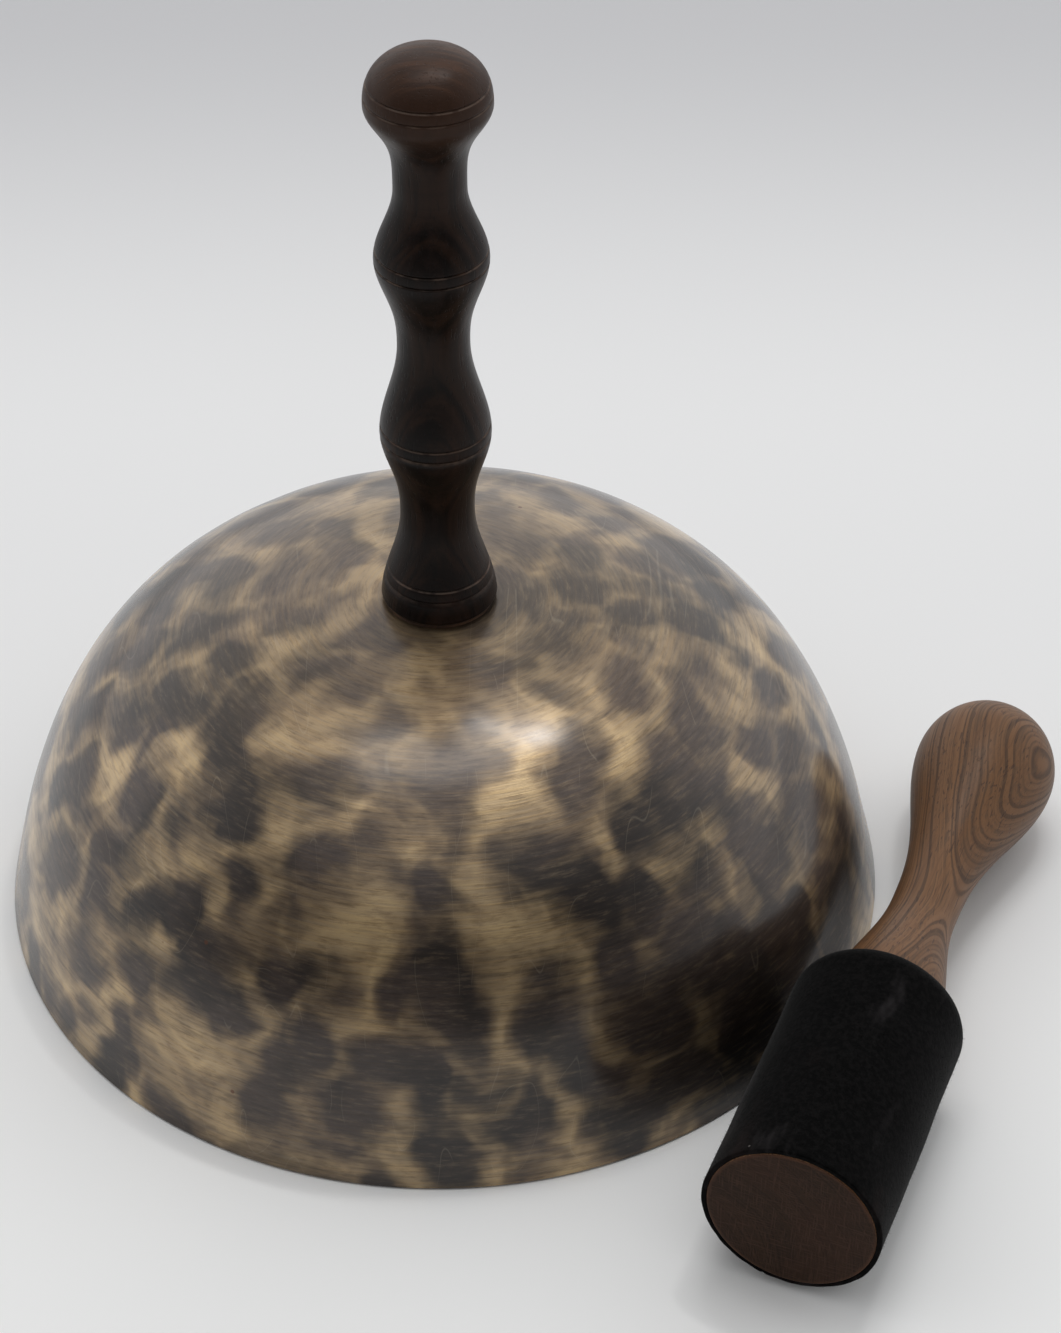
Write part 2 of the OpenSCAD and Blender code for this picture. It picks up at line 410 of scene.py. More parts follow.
def hammer_tree(finish):
    tree, given, out = new_tree("Hammer marks", [
        ("Dent Spacing", "NodeSocketFloat", 0.014),
        ("Dent Depth", "NodeSocketFloat", 0.0002),
        ("Swell Depth", "NodeSocketFloat", 0.0004),
        ("Low Edge", "NodeSocketFloat", 0.01),
        ("Seat Radius", "NodeSocketFloat", 0.017),
        ("Seed", "NodeSocketFloat", 3.0),
    ])
    place = tree.nodes.new("GeometryNodeInputPosition").outputs[0]
    rate = maths(tree, "DIVIDE", 1.0, given["Dent Spacing"])
    cells = add(tree, "ShaderNodeTexVoronoi",
                {"Vector": place, "W": given["Seed"], "Scale": rate, "Smoothness": 0.6,
                 "Randomness": 1.0}, voronoi_dimensions="4D", feature="SMOOTH_F1")
    dent = soft_step(tree, cells.outputs["Distance"], 0.0, 0.75, 1.0, 0.0)
    swell = add(tree, "ShaderNodeTexNoise",
                {"Vector": place, "W": given["Seed"], "Scale": 16.0, "Detail": 1.0},
                noise_dimensions="4D").outputs["Fac"]
    level = axes(tree, place)["Z"]
    off_rim = maths(tree, "DIVIDE", level, given["Low Edge"], clamp=True)
    off_seat = maths(tree, "DIVIDE", maths(tree, "SUBTRACT", off_axis(tree, place),
                     given["Seat Radius"]), 0.012, clamp=True)
    depth = maths(tree, "ADD", maths(tree, "MULTIPLY", dent, given["Dent Depth"]),
                  maths(tree, "MULTIPLY", swell, given["Swell Depth"]))
    depth = maths(tree, "MULTIPLY", depth, maths(tree, "MULTIPLY", off_rim, off_seat))
    normal = tree.nodes.new("GeometryNodeInputNormal").outputs[0]
    outside = add(tree, "ShaderNodeVectorMath", {0: normal, 1: place},
                  operation="DOT_PRODUCT").outputs["Value"]
    inward = maths(tree, "MULTIPLY", maths(tree, "SIGN", outside), -1.0)
    push = add(tree, "ShaderNodeVectorMath",
               {0: normal, "Scale": maths(tree, "MULTIPLY", depth, inward)},
               operation="SCALE").outputs[0]
    moved = add(tree, "GeometryNodeSetPosition", {"Geometry": given["Geometry"],
                "Offset": push})
    smooth = add(tree, "GeometryNodeSetShadeSmooth",
                 {0: moved.outputs[0], "Shade Smooth": True})
    real = add(tree, "GeometryNodeRealizeInstances", {0: smooth.outputs[0]})
    dressed = add(tree, "GeometryNodeSetMaterial", {0: real.outputs[0], "Material": finish})
    tree.links.new(dressed.outputs[0], out["Geometry"])
    return tree


# %% [markdown]
# ## The bronze finish
# The metal is warm grey-gold under a patina. Heat and oil leave soft dark patches about
# two centimetres across, with tan lanes between them, and a last brushing round the bowl
# combs everything into fine level lines. So the finish has three layers: a patina, the
# brushed lines, and wear.
#
# The patina is a sum of patterns. Cells give the patches and lanes, a slow and a faster
# cloud vary them, and the combed lines drag their edges round the bowl. The sum is
# darker beside the mallet, a painted shade and reflection of the mallet on the wall, and
# darker low on the wall, cleaner at the rim, and blurred towards the crown, where hands
# polish it.

# %% Patina
# Centre of the painted shade and reflection that the mallet casts on the bowl's wall.
MALLET_SHADE_AT = (0.082, -0.078, 0.03)


def patina_clouds(tree, place):
    """Cells, a slow cloud and a faster one, all read at one warped place."""
    bent = warped(tree, place, (38, 38, 38), 0.03)
    cells = add(tree, "ShaderNodeTexVoronoi",
                {"Vector": bent, "Scale": 60.0, "Smoothness": 0.45, "Randomness": 1.0},
                feature="SMOOTH_F1").outputs["Distance"]
    broad = cloud(tree, bent, 27.0, 2.0, 0.5)
    middle = cloud(tree, stretched(tree, bent, (1, 1, 1), (0.2, 0, 0)), 80.0, 2.0, 0.5)
    return cells, broad, middle


def patina_share(tree, place, along, clouds, comb):
    """How dark the patina is, from 0, bare metal, to 1."""
    cells, broad, middle = clouds
    dark = maths(tree, "MULTIPLY", cells, -2.0)
    dark = maths(tree, "MULTIPLY_ADD", broad, 1.0, dark)
    dark = maths(tree, "MULTIPLY_ADD", middle, 0.9, dark)
    dark = maths(tree, "MULTIPLY_ADD", comb, 0.6, dark)
    clean_rim = soft_step(tree, along, 0.006, 0.02, 0.22, 0.0)
    dark = maths(tree, "SUBTRACT", dark, clean_rim)
    # Painted shade: the wall is darker beside the mallet, for its shadow and dark reflection.
    mallet_shade = add(tree, "ShaderNodeVectorMath", {0: place, 1: MALLET_SHADE_AT},
                 operation="DISTANCE").outputs["Value"]
    dark = maths(tree, "ADD", dark, soft_step(tree, mallet_shade, 0.02, 0.06, 0.32, 0.0))
    dark = maths(tree, "ADD", dark, soft_step(tree, along, 0.05, 0.12, 0.12, 0.0))
    patina = soft_step(tree, dark, -0.96, 0.38)
    blurred = soft_step(tree, along, 0.08, 0.15, 0.0, 0.45)
    return maths(tree, "MULTIPLY_ADD", maths(tree, "SUBTRACT", 0.80, patina), blurred,
                 patina)


print("painted mallet shade lies", round(Vector(MALLET_SHADE_AT).xy.length/MM), "mm off the axis")

# %% [markdown]
# ## Brushing, wear and wax
# Brushed lines can't come from a plain noise, because they run round the bowl. Read at
# the lathe's place, the same noise becomes level lines: very fine ones, coarser combed
# ones and short flecks. Wear adds faint scratches and rare small pits. A thin coat stands
# for the wax on top, and dark patina is duller than bare metal, so roughness follows it.

# %% Bronze
def brushed(tree, colour, lines, streaks):
    """Short flecks, fine pale lines and darker combed streaks over a colour."""
    fleck = cloud(tree, lathe_place(tree, 150, 800), 1.0, 4.0, 0.7)
    colour = mix(tree, soft_step(tree, fleck, 0.3, 0.55, 0.4, 0.0), colour,
                 linear(112, 100, 90), "MULTIPLY")
    colour = mix(tree, soft_step(tree, fleck, 0.5, 0.75, 0.0, 0.2), colour,
                 linear(160, 142, 116))
    colour = mix(tree, soft_step(tree, lines, 0.3, 0.75, 0.0, 0.7), colour,
                 linear(214, 200, 172), "SOFT_LIGHT")
    return mix(tree, streaks, colour, linear(70, 62, 54), "MULTIPLY")


def wear(tree, place):
    """Faint scratches in two directions, and small pits in a few places."""
    marks = maths(tree, "MAXIMUM", scratches(tree, place, (0.3, 0.2, 0.5), 110, 0.006, 0.54),
                  scratches(tree, place, (0.1, 0.5, -0.9), 130, 0.006, 0.56))
    speck = add(tree, "ShaderNodeTexVoronoi", {"Vector": place, "Scale": 70.0})
    pit = soft_step(tree, speck.outputs["Distance"], 0.03, 0.055, 1.0, 0.0)
    rare = soft_step(tree, cloud(tree, place, 40.0, 0.0), 0.6, 0.64)
    return marks, maths(tree, "MULTIPLY", pit, rare)


def bronze_finish():
    finish, tree, shader = new_finish("bronze_patina")
    place = object_place(tree)
    _, along = round_and_along(tree)
    lines = cloud(tree, lathe_place(tree, 45, 1700), 1.0, 4.0, 0.7)
    combed = cloud(tree, lathe_place(tree, 38, 620), 1.0, 4.0, 0.68)
    low_wall = soft_step(tree, along, 0.095, 0.15, 1.0, 0.35)
    comb = maths(tree, "MULTIPLY", maths(tree, "SUBTRACT", combed, 0.5), low_wall)
    streaks = maths(tree, "MULTIPLY", soft_step(tree, combed, 0.5, 0.8, 0.0, 0.4), low_wall)
    clouds = patina_clouds(tree, place)
    _, broad, middle = clouds
    patina = patina_share(tree, place, along, clouds, comb)
    gold = mix(tree, soft_step(tree, middle, 0.35, 0.65), linear(196, 171, 133),
               linear(162, 140, 110))
    brown = mix(tree, soft_step(tree, broad, 0.42, 0.62), linear(72, 62, 58),
                linear(44, 37, 34))
    colour = brushed(tree, mix(tree, patina, gold, brown), lines, streaks)
    marks, pit = wear(tree, place)
    colour = mix(tree, maths(tree, "MULTIPLY", marks, 0.1), colour, linear(206, 192, 166))
    colour = mix(tree, maths(tree, "MULTIPLY", pit, 0.8), colour, linear(92, 52, 28))
    rough = maths(tree, "MULTIPLY_ADD", lines, 0.08,
                  soft_step(tree, patina, 0.0, 1.0, 0.38, 0.48))
    fill(tree, shader, {"Base Color": colour, "Roughness": rough, "Metallic": 0.84,
                        "Coat Weight": 0.9, "Coat Roughness": 0.2})
    relief = bumped(tree, shader, lines, 0.00012, 0.7)
    bumped(tree, shader, maths(tree, "ADD", pit, marks), 0.00004, -0.5, relief)
    return finish


bronze = bronze_finish()
print("bronze has", len(bronze.node_tree.nodes), "nodes")

# %% Hammer the bowl and give it its bronze
bowl = grow(bowl, hammer_tree(bronze), dent_spacing=DENT_SPACING, dent_depth=DENT_DEPTH,
            swell_depth=SWELL_DEPTH, low_edge=FLAT_RIM, seat_radius=SEAT_R, seed=3.0)
bowl.data.set_sharp_from_angle(angle=math.radians(40))
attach(bowl, "bell")
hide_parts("bowl")
print("hammered bowl", len(bowl.data.vertices), "vertices,",
      [m.name for m in bowl.data.materials])

# %% [markdown]
# ## The handle's shape
# The handle was turned from one stick: a foot, two bulges and a knob with slim necks
# between. Each flank is the same smooth step from a neck to the next fuller place, and a
# power above one keeps the necks long. Every fuller place carries two fine grooves, cut
# with a pointed tool and polished, so their lips are soft and catch the light. The
# outline starts at the top of the blind bore that takes the stud.

# %% Outline of the handle
NECK_R = [9.95*MM, 9.4*MM, 9.25*MM]
BULGE_R = 14.7*MM
FOOT_R = 15.7*MM
NECK_AT = [0.174*HANDLE_LEN, 0.499*HANDLE_LEN, 0.778*HANDLE_LEN]
BULGE_AT = [0.328*HANDLE_LEN, 0.651*HANDLE_LEN, 0.917*HANDLE_LEN]
SHORT_NECK, EVEN_NECK, LONG_NECK = 1.1, 1.35, 2.0
KNOB_POWER = 2.4
GROOVE_GAP = 3.2*MM
GROOVE_HALF = 0.5*MM
GROOVE_DEEP = 0.5*MM
FINE_STEP = 0.11*MM
PLAIN_STEP = 0.9*MM
KNOB_FINE = 7*MM
FOOT_CORNER = 1.4*MM
BORE_PLAY = 0.05*MM
lower_grooves = [0.043*HANDLE_LEN, BULGE_AT[0] - 0.5*MM, BULGE_AT[1] - 0.5*MM,
                 BULGE_AT[2] + 2.5*MM]
groove_heights = [z + gap for z in lower_grooves for gap in (0, GROOVE_GAP)]


def flank(z, neck_z, neck_r, full_z, full_r, power):
    """Radius at z between a neck and a fuller place."""
    u = abs((z - neck_z)/(full_z - neck_z))**power
    return neck_r + (full_r - neck_r)*u*u*(3 - 2*u)


def handle_radius(z):
    full_at = [0] + BULGE_AT
    full_r = [FOOT_R, BULGE_R, BULGE_R, KNOB_R]
    for i, (neck_z, neck_r) in enumerate(zip(NECK_AT, NECK_R)):
        if z < neck_z:
            return flank(z, neck_z, neck_r, full_at[i], full_r[i], SHORT_NECK)
        if z < BULGE_AT[i]:
            power = LONG_NECK if i == 2 else EVEN_NECK
            return flank(z, neck_z, neck_r, BULGE_AT[i], full_r[i + 1], power)
    up = (z - BULGE_AT[2])/(HANDLE_LEN - BULGE_AT[2])
    return KNOB_R*max(0, 1 - up**KNOB_POWER)**(1/KNOB_POWER)


def groove_cut(z):
    """Depth that the grooves take away at height z: a V with a soft bottom and lips."""
    nearest = min(abs(z - g) for g in groove_heights)
    side = max(0, 1 - nearest/GROOVE_HALF)
    return GROOVE_DEEP*side*side*(1.8 - 0.8*side)


handle_heights = []
z = FOOT_CORNER + 0.2*MM
while z < BULGE_AT[2]:
    handle_heights.append(z)
    near = min(abs(z - g) for g in groove_heights)
    z += FINE_STEP if near < 0.8*MM else PLAIN_STEP
knob_rise = HANDLE_LEN - BULGE_AT[2]
rises = [knob_rise*math.sin(math.pi/2*i/70) for i in range(71)]
knob_heights = [BULGE_AT[2] + FINE_STEP*i for i in range(int(KNOB_FINE/FINE_STEP))]
knob_heights += [BULGE_AT[2] + rise for rise in rises if rise > KNOB_FINE]
foot_corner = arc((FOOT_R - FOOT_CORNER, FOOT_CORNER), FOOT_CORNER, -90, 0, 8)
bore_r = (stud_high[0] - stud_low[0])/2 + BORE_PLAY
bore_top = stud_high[2] - HANDLE_Z
bore_line = [(0, bore_top), (bore_r, bore_top), (bore_r, 0)]
handle_outline = bore_line + foot_corner + [
    (max(0, handle_radius(h) - groove_cut(h)), h) for h in handle_heights + knob_heights]
handle_outline[-1] = (0, HANDLE_LEN)
handle_place = Matrix.Translation((0, 0, HANDLE_Z))
handle = turned("handle_turned", handle_outline, 144, handle_place)
handle.data.set_sharp_from_angle(angle=math.radians(60))
print("handle outline", len(handle_outline), "points,", len(handle.data.polygons), "faces")

# %% [markdown]
# ## Dark wood
# The handle is a nearly black rosewood. Its grain runs up the stick, with short open
# pores and faint warmer streaks, and shows brighter on the knob, where the end of the
# grain comes to the surface. Noise drawn out along Z gives streaks and pores at once:
# on the sides they are long, and on the knob's top they turn into bands and dots, as in
# real wood. The knob is also painted a little paler, a painted sheen for the light on its
# top. A painted highlight runs along the lower lip of each groove, where the lip faces
# up, so the mesh carries an attribute that says where the lips are, and the finish reads it.

# %% Dark wood
def dark_wood_finish():
    finish, tree, shader = new_finish("dark_rosewood")
    place = object_place(tree)
    grain = cloud(tree, stretched(tree, place, (260, 420, 14)), 1.0, 4.0, 0.6, 0.6)
    rings = cloud(tree, stretched(tree, place, (60, 420, 5), (0.1, 0, 0)), 1.0, 3.0, 0.6, 0.5)
    pores = cloud(tree, stretched(tree, place, (1700, 1700, 130)), 1.0, 2.0, 0.5)
    turned_lines = cloud(tree, lathe_place(tree, 60, 1500), 1.0, 3.0, 0.6)
    pore = soft_step(tree, pores, 0.60, 0.70)
    facing = add(tree, "ShaderNodeNewGeometry").outputs["Normal"]
    upward = axes(tree, facing)["Z"]
    end_grain = soft_step(tree, upward, 0.5, 0.95, 0.12, 0.6)
    colour = mix(tree, soft_step(tree, grain, 0.32, 0.72), linear(12, 7, 5),
                 linear(27, 16, 12))
    banded = maths(tree, "MULTIPLY", soft_step(tree, rings, 0.42, 0.66), end_grain)
    colour = mix(tree, banded, colour, linear(92, 62, 43))
    colour = mix(tree, soft_step(tree, turned_lines, 0.45, 0.75, 0.0, 0.35), colour,
                 linear(20, 11, 8))
    colour = mix(tree, maths(tree, "MULTIPLY", pore, 0.6), colour, linear(14, 8, 6))
    level = axes(tree, place)["Z"]
    knob_z = HANDLE_Z + BULGE_AT[2]
    # Painted sheen: the knob is painted paler, for the soft light on its top.
    knob_sheen = soft_step(tree, level, knob_z - 12*MM, knob_z + 4*MM, 0.0, 0.5)
    colour = mix(tree, knob_sheen, colour, linear(70, 48, 36))
    # Painted highlight: a pale, broken line along the lower lip of each groove.
    lip_highlight = add(tree, "ShaderNodeAttribute", attribute_name="lip_highlight").outputs["Fac"]
    broken = soft_step(tree, cloud(tree, place, 260.0, 2.0), 0.35, 0.6, 0.1, 0.62)
    colour = mix(tree, maths(tree, "MULTIPLY", lip_highlight, broken), colour, linear(122, 104, 92))
    fill(tree, shader, {"Base Color": colour, "Specular IOR Level": 0.14,
                        "Roughness": soft_step(tree, grain, 0.2, 0.8, 0.30, 0.42)})
    relief = bumped(tree, shader, maths(tree, "MULTIPLY", pore, -1.0), 0.0001, 0.5)
    bumped(tree, shader, turned_lines, 0.00005, 0.5, relief)
    return finish


LIP_BELOW = 0.24*MM
LIP_HALF = 0.22*MM
dark_wood = dark_wood_finish()
handle.data.materials.append(dark_wood)
# Marks the lower lip of each groove for the painted highlight.
lip_highlight = handle.data.attributes.new("lip_highlight", "FLOAT", "POINT")
for i, vertex in enumerate(handle.data.vertices):
    height = vertex.co[2] - HANDLE_Z
    off_lip = min(abs(height - g + LIP_BELOW) for g in groove_heights)
    lip_highlight.data[i].value = max(0, 1 - off_lip/LIP_HALF)
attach(handle, "bell")
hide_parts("handle")
print("groove lips at", [round(g/MM) for g in groove_heights], "mm up the handle")

# %% [markdown]
# ## The mallet's place
# The mallet lies on the shoulder of its sleeve and on its bulb, so its axis dips a little.
# A matrix takes points from the mallet's own lathe, where its striking face is at zero,
# to where it lies. The dip follows from the two radii that touch the table. The sleeve
# reaches a little way in over the rim, because the bowl's wall leans away from it.

# %% Where the mallet lies
HEAD_R = 23.8*MM
SUEDE = 1.6*MM
SLEEVE_LEN = 82*MM
MALLET_LEN = 208*MM
NECK_THIN = 9.4*MM
BULB_R = 20.3*MM
SHOULDER = 6*MM
BEARING = math.radians(-37)
HEADING = math.radians(68.7)
OVER_RIM = 2.74*MM
CORE_R = HEAD_R - SUEDE
STRAIGHT = SLEEVE_LEN - SHOULDER - SUEDE
FLARE_R = CORE_R - SHOULDER
NECK_S = 0.584*MALLET_LEN
BULB_S = 0.895*MALLET_LEN
dip = math.asin((HEAD_R - BULB_R)/(BULB_S - STRAIGHT))
out = MOUTH_R + HEAD_R - OVER_RIM
mallet_turn = Euler((0, math.pi/2 + dip, HEADING))
mallet_place = (Matrix.Translation((out*math.cos(BEARING), out*math.sin(BEARING), HEAD_R))
                @ mallet_turn.to_matrix().to_4x4()
                @ Matrix.Translation((0, 0, -STRAIGHT)))
print("dip of the mallet", round(math.degrees(dip), 2), "degrees")

# %% [markdown]
# ## The mallet's wood
# Head, neck and bulb are one turned piece. The head is a plain cylinder with a rounded
# shoulder, hidden by the sleeve apart from its striking face. The outline is made as the
# handle's was, with denser points where the curve is tight.

# %% Outline of the mallet's core
def mallet_radius(s):
    if s < NECK_S:
        return flank(s, NECK_S, NECK_THIN, STRAIGHT + SHOULDER, FLARE_R - 0.4*MM, 1.1)
    if s < BULB_S:
        return flank(s, NECK_S, NECK_THIN, BULB_S, BULB_R, 1.35)
    return BULB_R*math.sqrt(max(0, 1 - ((s - BULB_S)/(MALLET_LEN - BULB_S))**2))


FACE_EDGE = 0.4*MM
face_rings = [(CORE_R*i/12, 0) for i in range(12)]
edge = arc((CORE_R - FACE_EDGE, FACE_EDGE), FACE_EDGE, -90, 0, 4)
head_side = [(CORE_R, FACE_EDGE + (STRAIGHT - FACE_EDGE)*i/30) for i in range(1, 30)]
corner = arc((FLARE_R, STRAIGHT), SHOULDER, 0, 90, 12)
flare = [STRAIGHT + SHOULDER + (BULB_S - STRAIGHT - SHOULDER)*i/120 for i in range(120)]
tip = [BULB_S + (MALLET_LEN - BULB_S)*math.sin(math.pi/2*i/40) for i in range(41)]
core_outline = face_rings + edge + head_side + corner + [
    (mallet_radius(s), s) for s in flare + tip]
core_outline[-1] = (0, MALLET_LEN)
core = turned("mallet_wood", core_outline, 128, mallet_place)
print("mallet core", len(core_outline), "points,", len(core.data.polygons), "faces")

# %% [markdown]
# ## Red-brown wood
# This rosewood shows its figure strongly: dark veins that run with the grain and open
# into arches where the lathe cut across the layers. The tree's growth layers are modelled
# in space, as distances from a pith that lies beside the mallet. Uneven spacing comes
# from noise read along that distance alone. Where the round surface cuts the layers, the
# arches appear by themselves. A Mapping node turns the pattern to lie with the mallet.

# %% Red-brown wood
def mallet_space(tree):
    """Object coordinates turned and moved into the mallet's own lathe."""
    spot = mallet_place.to_translation()
    node = add(tree, "ShaderNodeMapping",
               {"Vector": object_place(tree), "Location": tuple(spot),
                "Rotation": tuple(mallet_turn)}, vector_type="TEXTURE")
    return node.outputs["Vector"]


def red_wood_finish(name, end_grain=False):
    finish, tree, shader = new_finish(name)
    place = mallet_space(tree)
    bent = warped(tree, place, (22, 22, 9), 0.016)
    pith = stretched(tree, bent, (1, 1, 0.05), (-0.026, -0.034, 0))
    layer = add(tree, "ShaderNodeVectorMath", {0: pith}, operation="LENGTH").outputs["Value"]
    veins = add(tree, "ShaderNodeTexNoise",
                {"W": maths(tree, "MULTIPLY", layer, 1500.0), "Scale": 1.0, "Detail": 3.0,
                 "Roughness": 0.55}, noise_dimensions="1D").outputs["Fac"]
    tone = add(tree, "ShaderNodeTexNoise",
               {"W": maths(tree, "MULTIPLY", layer, 150.0), "Scale": 1.0, "Detail": 1.0},
               noise_dimensions="1D").outputs["Fac"]
    fibre = cloud(tree, stretched(tree, place, (800, 800, 18)), 1.0, 3.0, 0.6)
    pores = cloud(tree, stretched(tree, place, (1500, 1500, 90)), 1.0, 2.0, 0.5)
    pore = soft_step(tree, pores, 0.60, 0.68)
    base = mix(tree, soft_step(tree, tone, 0.3, 0.7), linear(103, 70, 42),
               linear(118, 82, 51))
    rag = maths(tree, "MULTIPLY_ADD", maths(tree, "SUBTRACT", fibre, 0.5), 0.7, veins)
    vein = soft_step(tree, rag, 0.42, 0.68, 0.0, 0.75)
    colour = mix(tree, vein, base, linear(50, 34, 23))
    colour = mix(tree, soft_step(tree, fibre, 0.28, 0.5, 0.4, 0.0), colour,
                 linear(72, 48, 31))
    colour = mix(tree, soft_step(tree, fibre, 0.35, 0.75, 0.0, 0.3), colour,
                 linear(124, 92, 64))
    colour = mix(tree, maths(tree, "MULTIPLY", pore, 0.55), colour, linear(44, 26, 19))
    if end_grain:
        saw = cloud(tree, stretched(tree, place, (2400, 160, 1), turn=(0, 0, 0.6)), 1.0, 2.0)
        cross = cloud(tree, stretched(tree, place, (160, 2100, 1), turn=(0, 0, 0.75)), 1.0, 2.0)
        hatch = maths(tree, "MAXIMUM", saw, cross)
        colour = mix(tree, 0.85, colour, linear(25, 16, 12))
        stain = soft_step(tree, cloud(tree, place, 45.0, 2.0), 0.42, 0.62, 0.0, 0.45)
        colour = mix(tree, stain, colour, linear(54, 33, 22))
        colour = mix(tree, soft_step(tree, hatch, 0.48, 0.7, 0.0, 0.6), colour,
                     linear(70, 48, 37))
        # A paler ring at the face's edge: partly wear, partly a painted glint on the rounded
        # edge.
        worn_and_glint = soft_step(tree, cloud(tree, place, 110.0, 3.0), 0.35, 0.65, 0.2, 0.75)
        edge = soft_step(tree, off_axis(tree, place), CORE_R - 1.3*MM, CORE_R - 0.2*MM)
        colour = mix(tree, maths(tree, "MULTIPLY", edge, worn_and_glint), colour, linear(88, 58, 41))
        bumped(tree, shader, hatch, 0.0001, 0.5)
    else:
        bumped(tree, shader, maths(tree, "MULTIPLY", pore, -1.0), 0.0001, 0.35)
    fill(tree, shader, {"Base Color": colour,
                        "Roughness": soft_step(tree, veins, 0.3, 0.7, 0.40, 0.50),
                        "Specular IOR Level": 0.1 if end_grain else 0.26})
    return finish


red_wood = red_wood_finish("red_rosewood")
red_wood_end = red_wood_finish("red_rosewood_sawn", end_grain=True)
core.data.materials.append(red_wood)
core.data.materials.append(red_wood_end)
to_lathe = mallet_place.inverted()
for face in core.data.polygons:
    face.material_index = 1 if (to_lathe @ face.center)[2] < 0.1*MM else 0
core.data.set_sharp_from_angle(angle=math.radians(50))
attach(core, "mallet")
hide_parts("mallet_core")
print("red wood has", len(red_wood.node_tree.nodes), "nodes")

# %% [markdown]
# ## The suede sleeve
# The sleeve is one piece of suede, glued round the head with its edges butted together
# and stretched over the shoulder. It could be a cloth simulation, but a glued skin can't
# hang or fold, so it is turned like the wood and then given what hands and glue leave: a
# slightly uneven thickness, a cut edge that wanders, and a fine seam on the hidden side.

# %% Shape the sleeve
SEAM_ANGLE = math.radians(15)
SEAM_DEEP = 0.45*MM
SEAM_HALF = 0.5*MM
LUMP = 0.22*MM
LUMP_REST = 0.16*MM
WANDER = 0.25*MM
WANDER_REACH = 2*MM
sleeve_outline = (
    [(CORE_R + 0.05*MM, STRAIGHT*(30 - i)/30 + 0.3*MM) for i in range(30)]
    + arc((CORE_R + 0.35*MM, 0.3*MM), 0.3*MM, 180, 270, 3)
    + arc((HEAD_R - 0.5*MM, 0.5*MM), 0.5*MM, 270, 360, 5)
    + [(HEAD_R, 0.5*MM + (STRAIGHT - 0.5*MM)*i/60) for i in range(1, 60)]
    + arc((FLARE_R, STRAIGHT), SHOULDER + SUEDE, 0, 88, 18)
    + arc((FLARE_R + 0.1*MM, STRAIGHT + SHOULDER + SUEDE/2), SUEDE/2 - 0.1*MM, 92, 268, 6)
    + arc((FLARE_R, STRAIGHT), SHOULDER + 0.05*MM, 88, 4, 12)
)
sleeve = turned("suede_sleeve", sleeve_outline, 192, ring=True)
for vertex in sleeve.data.vertices:
    x, y, s = vertex.co
    radius = math.hypot(x, y)
    angle = math.atan2(y, x)
    skin = min(1, max(0, (radius - CORE_R)/(0.5*SUEDE))) if s < STRAIGHT else 1
    lump = noise.noise(Vector((x, y, s))*70)*LUMP - LUMP_REST
    off_seam = abs((angle - SEAM_ANGLE + math.pi) % (2*math.pi) - math.pi)*HEAD_R
    lump -= SEAM_DEEP*math.exp(-(off_seam/SEAM_HALF)**2)
    radius += lump*skin if s < STRAIGHT + SHOULDER + 0.3*MM else 0
    if s < WANDER_REACH:
        cut = noise.noise(Vector((math.cos(angle), math.sin(angle), 4))*6) + 0.6
        s += WANDER*cut*(1 - s/WANDER_REACH)
    vertex.co = (radius*math.cos(angle), radius*math.sin(angle), s)
sleeve.data.transform(mallet_place)
print("sleeve", len(sleeve.data.polygons), "faces")

# %% [markdown]
# ## Suede
# Suede is nearly black here, but its nap scatters light at grazing angles, so it gets
# sheen. Rubbing lays the nap down in places and leaves faint grey scuffs. The nap itself
# is a very fine, slightly drawn out relief.

# %% Suede
def suede_finish():
    finish, tree, shader = new_finish("black_suede")
    place = mallet_space(tree)
    nap = cloud(tree, stretched(tree, place, (1500, 1500, 900)), 1.0, 3.0, 0.7)
    tufts = cloud(tree, place, 700.0, 3.0, 0.65)
    rubbed = cloud(tree, stretched(tree, place, (60, 60, 22), (0.3, 0.1, 0)), 1.0, 4.0, 0.62)
    scuff = soft_step(tree, rubbed, 0.56, 0.74, 0.0, 0.6)
    colour = mix(tree, soft_step(tree, tufts, 0.38, 0.66), linear(4, 4, 4),
                 linear(14, 13, 13))
    colour = mix(tree, scuff, colour, linear(50, 47, 48))
    dust = soft_step(tree, cloud(tree, stretched(tree, place, (38, 38, 18), (0.7, 0.2, 0.4)),
                                 1.0, 4.0, 0.65), 0.54, 0.74, 0.0, 0.32)
    colour = mix(tree, dust, colour, linear(46, 36, 34))
    speck = add(tree, "ShaderNodeTexVoronoi", {"Vector": place, "Scale": 130.0})
    lint = soft_step(tree, speck.outputs["Distance"], 0.03, 0.05, 1.0, 0.0)
    lint = maths(tree, "MULTIPLY", lint, soft_step(tree, cloud(tree, place, 50.0), 0.6, 0.65))
    colour = mix(tree, maths(tree, "MULTIPLY", lint, 0.5), colour, linear(120, 116, 112))
    fill(tree, shader, {"Base Color": colour, "Roughness": 0.95,
                        "Specular IOR Level": 0.05, "Sheen Weight": 0.05,
                        "Sheen Roughness": 0.4})
    relief = bumped(tree, shader, nap, 0.00015, 0.5)
    bumped(tree, shader, tufts, 0.0003, 0.35, relief)
    return finish


suede = suede_finish()
sleeve.data.materials.append(suede)
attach(sleeve, "mallet")
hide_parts("mallet_sleeve")

# %% [markdown]
# ## Loose fibres
# Along its outline the suede shows a short, ragged fuzz. It repeats thousands of times,
# so Geometry Nodes scatter it: points on the sleeve's outer face, one thin three-sided
# spike at each, turned to stand out from the skin with a random lean and length. Spikes
# near the table are left out, because there the nap is pressed flat. The result is
# realized into one plain mesh.

